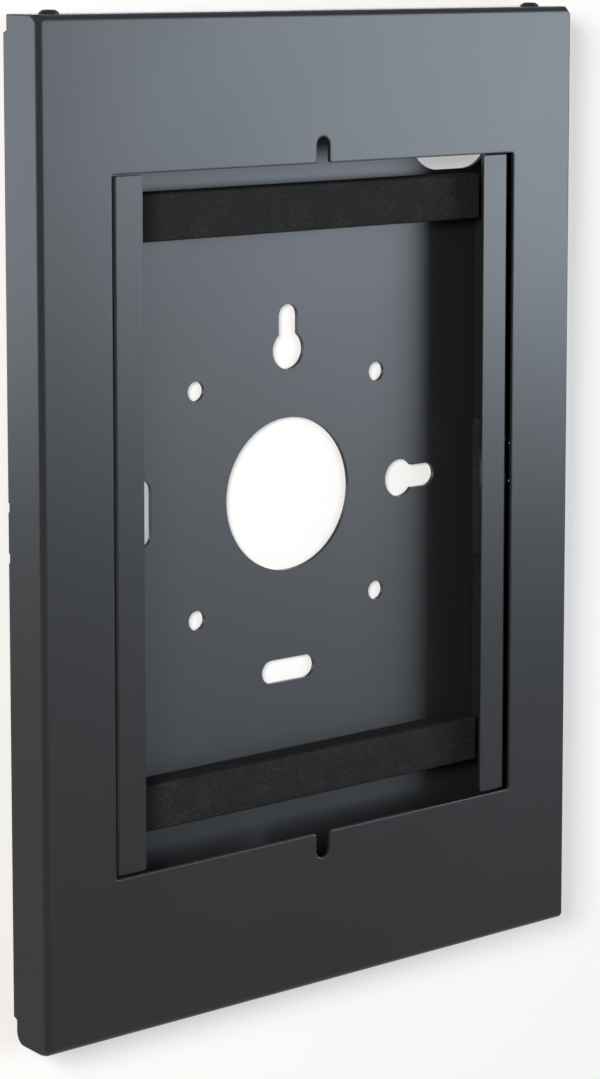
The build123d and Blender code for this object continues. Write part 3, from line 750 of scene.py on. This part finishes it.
class Rivets(bpy.types.Operator):
    """Make the rivets of the rails, the ledge and the stop"""
    bl_idname = "mount.rivets"
    bl_label = "Rivets"

    def execute(self, context):
        finish = context.scene.mount_finish
        shank = context.scene.mount_fasteners.rivet_shank / 2.0
        coat = metal_material("zinc_plate", finish.zinc_color, rough=0.46, grain_size=0.12 * MM)
        tree = copies_tree("rivets in a row")
        for node in ("left_rail_rivets", "right_rail_rivets", "ledge_rivets", "stop_rivets"):
            low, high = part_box(node)
            upright = high.z - low.z > high.x - low.x
            head = (high.x - low.x if upright else high.z - low.z) / 2.0
            run = (high.z - low.z if upright else high.x - low.x) - 2.0 * head
            axis = Vector((0.0, 0.0, 1.0)) if upright else Vector((1.0, 0.0, 0.0))
            middle = (low + high) / 2.0
            start = Vector((middle.x, high.y, middle.z)) - axis * run / 2.0
            rivet = self.rivet(high.y - low.y, head, shank)
            mesh = grown(node.replace("rivets", "rivet_set"), rivet, tree, {
                "count": 2, "start": tuple(start), "step": tuple(axis * run), "coat": coat})
            smooth(mesh, degrees=35)
            piece = link_piece(mesh.name, mesh)
            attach(piece, MOUNT)
            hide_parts(node)
        return {"FINISHED"}

    def rivet(self, length, head, shank):
        """A domed rivet along -Y from the wall face, with the small flat of its set mark."""
        base = length - RIVET_DOME
        rim = base + RIVET_CHAMFER
        rings = [(0.0, shank * RIVET_END_SHARE), (RIVET_CHAMFER, shank), (base, shank),
                 (base, head * RIVET_SEAT_SHARE), (rim, head)]
        for i in range(1, RIVET_STEPS):
            angle = math.pi / 2.0 * i / RIVET_STEPS
            rise = (RIVET_DOME - RIVET_CHAMFER) * math.sin(angle)
            rings.append((rim + rise, head * math.cos(angle)))
        rings.append((length, head * RIVET_MARK_SHARE))
        form = bmesh.new()
        lathe(form, (0.0, 0.0, 0.0), rings, RIVET_SIDES, Matrix.Rotation(math.radians(90), 3, "X"))
        return form


class LockScrews(bpy.types.Operator):
    """Make the threaded lock screws with their pin-in-hexagon sockets"""
    bl_idname = "mount.lock_screws"
    bl_label = "Lock screws"

    def execute(self, context):
        sizes = context.scene.mount_fasteners
        color = context.scene.mount_finish.steel_color
        coat = metal_material("screw_steel", color, rough=0.12, grain_size=0.08 * MM)
        for side in SIDES:
            low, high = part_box(side + "_lock_screw")
            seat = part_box("front_cover")[1].z
            centre = Vector(((low.x + high.x) / 2.0, (low.y + high.y) / 2.0, seat))
            form = self.screw(centre, seat - low.z, high.z - seat, (high.x - low.x) / 2.0, sizes)
            mesh = mesh_from(form, side + "_pin_screw")
            mesh.materials.append(coat)
            smooth(mesh, degrees=32)
            piece = link_piece(mesh.name, mesh)
            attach(piece, SCREW_BODY[side])
            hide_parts(side + "_lock_screw")
        return {"FINISHED"}

    def screw(self, centre, length, height, head, sizes):
        """A low-domed screw, from the tip of its thread up to the pin in its socket."""
        form = bmesh.new()

        def groove(level):
            def radius(angle):
                phase = (level / sizes.thread_pitch - angle / (2.0 * math.pi)) % 1.0
                crest = min(1.0, THREAD_FLANK * abs(phase - 0.5))
                near_tip = max(0.0, 1.0 - (level + length) / SCREW_TIP)
                cut = sizes.thread_depth * (1.0 - crest)
                return SCREW_SHANK - cut - SCREW_TIP_TAPER * near_tip
            return radius

        def hexagon(angle):
            flat = (angle + math.pi / 6.0) % (math.pi / 3.0) - math.pi / 6.0
            return sizes.socket_across / 2.0 / math.cos(flat)

        rings = []
        thread = length - SCREW_PLAIN
        steps = int(thread / sizes.thread_pitch * THREAD_RINGS_PER_TURN)
        for i in range(steps + 1):
            level = -length + thread * i / steps
            rings.append((level, groove(level)))
        rings += [(-SCREW_PLAIN + THREAD_END, SCREW_SHANK), (0.0, SCREW_SHANK)]
        rings += [(0.0, head - HEAD_CHAMFER), (HEAD_CHAMFER_RISE, head), (HEAD_RIM, head)]
        for i in range(1, HEAD_STEPS):
            inward = i / HEAD_STEPS
            rise = 1.0 - (1.0 - inward) ** HEAD_ROUNDNESS
            rings.append((
                HEAD_RIM + (height - HEAD_RIM) * rise, head + (HEAD_TOP - head) * inward))
        rings += [(height, HEAD_TOP), (height, lambda angle: hexagon(angle) + SOCKET_CHAMFER)]
        floor = height - sizes.socket_depth
        rings += [(height - SOCKET_CHAMFER, hexagon), (floor, hexagon)]
        pin = sizes.pin_diameter / 2.0
        rings += [(floor, pin), (height - PIN_SIDE_DROP, pin)]
        rings.append((height - PIN_TOP_DROP, pin * PIN_TOP_SHARE))
        lathe(form, centre, rings, SCREW_SIDES)
        return form


class ClinchNuts(bpy.types.Operator):
    """Make the clinch nuts under the plate's top tabs"""
    bl_idname = "mount.clinch_nuts"
    bl_label = "Clinch nuts"

    def execute(self, context):
        sizes = context.scene.mount_fasteners
        color = context.scene.mount_finish.zinc_color
        coat = metal_material("nut_zinc", color, rough=0.34, grain_size=0.1 * MM)
        tree = ring_tree("knurls round a collar")
        for side in SIDES:
            low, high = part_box(side + "_clinch_nut")
            centre = Vector(((low.x + high.x) / 2.0, (low.y + high.y) / 2.0, 0.0))
            body = (high.x - low.x) / 2.0
            shoulder = low.z + NUT_SHOULDER
            form = bmesh.new()
            self.tube(form, centre, [
                (low.z + NUT_BORE_CHAMFER, NUT_BORE), (low.z, NUT_BORE + NUT_BORE_CHAMFER),
                (low.z, body - NUT_FOOT_CHAMFER), (low.z + NUT_FOOT_CHAMFER, body),
                (shoulder - NUT_SHOULDER_CHAMFER, body), (shoulder, body - NUT_SHOULDER_CHAMFER),
                (shoulder, NUT_COLLAR), (high.z - NUT_COLLAR_CHAMFER, NUT_COLLAR),
                (high.z, NUT_COLLAR - NUT_COLLAR_CHAMFER), (high.z, NUT_BORE + NUT_MOUTH_CHAMFER),
                (high.z - NUT_MOUTH_CHAMFER, NUT_BORE)], NUT_SIDES)
            tooth = bmesh.new()
            bmesh.ops.create_cube(tooth, size=1.0)
            for corner in tooth.verts:
                width = TOOTH_TIP if corner.co.x > 0 else TOOTH_ROOT
                corner.co = Vector((
                    corner.co.x * TOOTH_DEPTH, corner.co.y * width, corner.co.z * TOOTH_HEIGHT))
            knurls = grown(side + "_knurls", tooth, tree, {
                "count": sizes.knurl_teeth, "radius": NUT_COLLAR - TOOTH_SUNK,
                "centre": (centre.x, centre.y, shoulder + TOOTH_RISE), "coat": coat})
            form.from_mesh(knurls)
            bpy.data.meshes.remove(knurls)
            mesh = bpy.data.meshes.new(side + "_press_nut")
            form.to_mesh(mesh)
            form.free()
            mesh.materials.clear()
            mesh.materials.append(coat)
            smooth(mesh, degrees=30)
            piece = link_piece(mesh.name, mesh)
            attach(piece, MOUNT)
            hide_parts(side + "_clinch_nut")
        return {"FINISHED"}

    def tube(self, form, centre, rings, segments):
        """Close a turned shape that has a bore, by joining its last ring to its first."""
        rows = []
        for height, radius in rings:
            rows.append([form.verts.new((
                centre.x + radius * math.cos(2.0 * math.pi * i / segments),
                centre.y + radius * math.sin(2.0 * math.pi * i / segments),
                height)) for i in range(segments)])
        for lower, upper in zip(rows, rows[1:] + rows[:1]):
            for i in range(segments):
                after = (i + 1) % segments
                form.faces.new((lower[i], lower[after], upper[after], upper[i]))
        bmesh.ops.recalc_face_normals(form, faces=form.faces)


class Stage(bpy.types.Operator):
    """Set the wall, the floor, the lights and the camera"""
    bl_idname = "mount.stage"
    bl_label = "Stage"

    def execute(self, context):
        stage = context.scene.mount_stage
        context.scene.view_settings.view_transform = "Standard"
        self.ground(stage)
        self.sky(context.scene, stage)
        self.lamp("key_softbox", (1.20, -1.06, 0.095), (1.15, 0.57), stage.key_power, COOL_LIGHT)
        side = self.lamp(
            "side_softbox", (-1.10, -0.86, 0.45), (0.4, 0.4), stage.side_power, PLAIN_LIGHT)
        side.visible_glossy = False
        self.lamp("rear_softbox", (-0.98, 1.26, 0.07), (1.1, 0.57), stage.rear_power, COOL_LIGHT)
        self.lamp("back_softbox", (1.20, 1.06, -0.05), (1.15, 0.8), stage.back_power, COOL_LIGHT)
        self.camera(context.scene)
        return {"FINISHED"}

    def ground(self, stage):
        """A pale wall behind the mount and a pale floor below it.

        The wall is clear from behind, to shadows and to reflections, so that the lights behind it
        reach the mount's sides and back.
        """
        floor_look = new_look("pale_floor")
        floor_coat = floor_look.finish(
            self.pale(floor_look, FLOOR_TINT, stage.floor_white, stage.floor_glow))
        wall_look = new_look("pale_wall")
        front = self.pale(wall_look, WALL_TINT, stage.wall_white, stage.wall_glow)
        _, shadow, glossy, _ = wall_look.rays()
        clear = wall_look.node("ShaderNodeBsdfTransparent")[0]
        behind = wall_look.node("ShaderNodeNewGeometry")[6]
        solid = (1 - behind) * (1 - shadow) * (1 - glossy)
        wall_coat = wall_look.finish(
            wall_look.node("ShaderNodeMixShader", None, {0: solid, 1: clear, 2: front})[0])
        floor = -stage.floor_drop
        reach = GROUND_REACH
        corners = {
            "wall": (wall_coat, [
                (-reach, WALL_GAP, floor), (reach, WALL_GAP, floor),
                (reach, WALL_GAP, WALL_TOP), (-reach, WALL_GAP, WALL_TOP)]),
            "floor": (floor_coat, [
                (-reach, -reach, floor), (reach, -reach, floor),
                (reach, reach, floor), (-reach, reach, floor)]),
        }
        for name, (look, points) in corners.items():
            mesh = bpy.data.meshes.new(name)
            mesh.from_pydata(points, [], [range(4)])
            mesh.materials.append(look)
            link_piece(name, mesh)

    def pale(self, look, tint, white, glow):
        """A matt tone of which a share, the glow, stays where no light falls."""
        tone = (*[white * share for share in tint], 1.0)
        coat = look.node("ShaderNodeBsdfDiffuse", None, {"Color": tone})[0]
        light = look.node("ShaderNodeEmission", None, {"Color": WHITE, "Strength": glow})[0]
        both = look.node("ShaderNodeAddShader", None, {0: coat, 1: light})[0]
        return look.node("ShaderNodeMixShader", None, {0: look.seen(), 1: coat, 2: both})[0]

    def sky(self, scene, stage):
        """Even light from all round, which the camera and reflections see as pale."""
        scene.world = bpy.data.worlds.new("even_sky")
        sky = Look(scene.world, "ShaderNodeOutputWorld")
        soft = sky.node("ShaderNodeBackground", None, {
            "Color": WHITE, "Strength": stage.sky_strength})[0]
        pale = sky.node("ShaderNodeBackground", None, {
            "Color": WHITE, "Strength": stage.sky_pale})[0]
        sky.finish(sky.node("ShaderNodeMixShader", None, {0: sky.seen(), 1: soft, 2: pale})[0])

    def lamp(self, name, place, size, power, color):
        """A soft light that faces the mount."""
        light = bpy.data.lights.new(name, "AREA")
        light.shape = "RECTANGLE"
        light.size, light.size_y = size
        light.energy = power
        light.color = color
        lamp = bpy.data.objects.new(name, light)
        bpy.context.scene.collection.objects.link(lamp)
        lamp.location = place
        lamp.rotation_mode = "QUATERNION"
        lamp.rotation_quaternion = (-Vector(place)).to_track_quat("-Z", "Y")
        lamp.visible_camera = False
        return lamp

    def camera(self, scene):
        """The photograph's camera."""
        lens = bpy.data.cameras.new("camera")
        lens.sensor_width = SENSOR_WIDTH
        lens.lens = SENSOR_WIDTH * FOCAL_PIXELS / PICTURE_HEIGHT
        lens.shift_y = CAMERA_SHIFT
        lens.clip_start = CAMERA_NEAR
        camera = bpy.data.objects.new("camera", lens)
        scene.collection.objects.link(camera)
        camera.location = CAMERA_PLACE
        camera.rotation_euler = (math.radians(90.0 - CAMERA_TILT), 0.0, -math.radians(CAMERA_TURN))
        scene.camera = camera


OPERATORS = (PaintSheets, FoamPads, RubberPads, Rivets, LockScrews, ClinchNuts, Stage)
GROUPS = {"mount_finish": MountFinish, "mount_fasteners": MountFasteners,
          "mount_pads": MountPads, "mount_stage": MountStage}


class MountPanel(bpy.types.Panel):
    """Lists the steps that dress the mount"""
    bl_idname = "VIEW3D_PT_tablet_mount"
    bl_label = "Tablet wall mount"
    bl_space_type = "VIEW_3D"
    bl_region_type = "UI"
    bl_category = "Mount"

    def draw(self, context):
        for group in GROUPS:
            values = getattr(context.scene, group)
            box = self.layout.box()
            for name in values.__annotations__:
                box.prop(values, name)
        for operator in OPERATORS:
            self.layout.operator(operator.bl_idname)


def register():
    for name, group in GROUPS.items():
        bpy.utils.register_class(group)
        setattr(bpy.types.Scene, name, bpy.props.PointerProperty(type=group))
    for operator in OPERATORS:
        bpy.utils.register_class(operator)
    bpy.utils.register_class(MountPanel)


def unregister():
    bpy.utils.unregister_class(MountPanel)
    for operator in reversed(OPERATORS):
        bpy.utils.unregister_class(operator)
    for name, group in reversed(list(GROUPS.items())):
        delattr(bpy.types.Scene, name)
        bpy.utils.unregister_class(group)


def main():
    register()
    bpy.ops.mount.paint_sheets()
    bpy.ops.mount.foam_pads()
    bpy.ops.mount.rubber_pads()
    bpy.ops.mount.rivets()
    bpy.ops.mount.lock_screws()
    bpy.ops.mount.clinch_nuts()
    bpy.ops.mount.stage()


if __name__ == "__main__":
    main()
